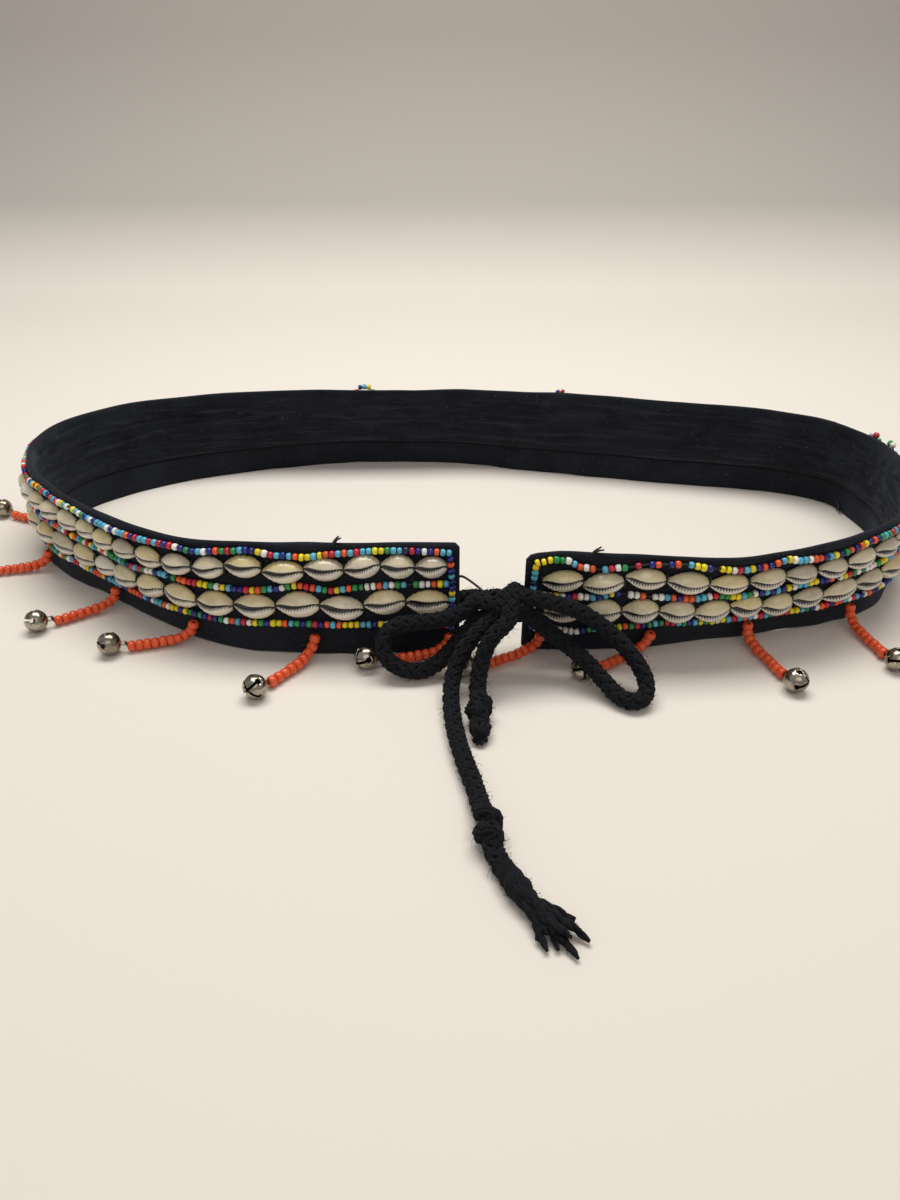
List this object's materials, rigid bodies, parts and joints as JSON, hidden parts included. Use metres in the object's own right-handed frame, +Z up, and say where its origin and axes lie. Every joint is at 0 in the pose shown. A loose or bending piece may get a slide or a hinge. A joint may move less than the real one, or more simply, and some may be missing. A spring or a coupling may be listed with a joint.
{
  "type": "beaded belt",
  "caption": "Black cloth hip belt with cowrie rows, seed bead borders and coral bead strings with small bells, standing on its edge, its braided cords tied in a bow.",
  "frame": {"origin": "on the floor, under the middle of the belt and its bead strings, seen from above", "axes": "+Z up, the opening with its bow faces -Y, +X to the right as seen from the bow's side"},
  "size_m": [0.5154, 0.4165, 0.05],
  "materials": {
    "band_cotton": "black woven cotton, matt",
    "cowrie_shell": "natural glossy shell, cream with yellow and grey tints",
    "seed_bead": "opaque glossy glass in blue, turquoise, white, yellow, orange, red and green",
    "coral_bead": "opaque coral red glass, glossy",
    "bell_metal": "nickel plate, a little dull",
    "cord_cotton": "braided black cotton yarn, fuzzy"
  },
  "bodies": {
    "root": {"cloth_band": "band_cotton", "shell_row_upper": "cowrie_shell", "shell_row_lower": "cowrie_shell", "bead_border_top": "seed_bead", "bead_midline": "seed_bead", "bead_border_bottom": "seed_bead", "string_01": "coral_bead", "string_02": "coral_bead", "string_03": "coral_bead", "string_04": "coral_bead", "string_05": "coral_bead", "string_06": "coral_bead", "string_07": "coral_bead", "string_08": "coral_bead", "string_09": "coral_bead", "string_10": "coral_bead", "string_11": "coral_bead", "string_12": "coral_bead", "string_13": "coral_bead", "string_14": "coral_bead", "string_15": "coral_bead", "string_16": "coral_bead", "string_17": "coral_bead", "string_18": "coral_bead", "string_19": "coral_bead", "string_20": "coral_bead", "string_21": "coral_bead", "bell_01": "bell_metal", "bell_02": "bell_metal", "bell_03": "bell_metal", "bell_04": "bell_metal", "bell_05": "bell_metal", "bell_06": "bell_metal", "bell_07": "bell_metal", "bell_08": "bell_metal", "bell_09": "bell_metal", "bell_10": "bell_metal", "bell_11": "bell_metal", "bell_12": "bell_metal", "bell_13": "bell_metal", "bell_14": "bell_metal", "bell_15": "bell_metal", "bell_16": "bell_metal", "bell_17": "bell_metal", "bell_18": "bell_metal", "bell_19": "bell_metal", "bell_20": "bell_metal", "bell_21": "bell_metal", "cord_stub_left": "cord_cotton", "cord_stub_right": "cord_cotton", "bow_knot": "cord_cotton", "bow_loop_left": "cord_cotton", "bow_loop_right": "cord_cotton", "tail_long": "cord_cotton", "end_knot_long": "cord_cotton", "tail_long_end": "cord_cotton", "fray_long": "cord_cotton", "tail_short": "cord_cotton", "end_knot_short": "cord_cotton", "fray_short": "cord_cotton"}
  },
  "joints": []
}
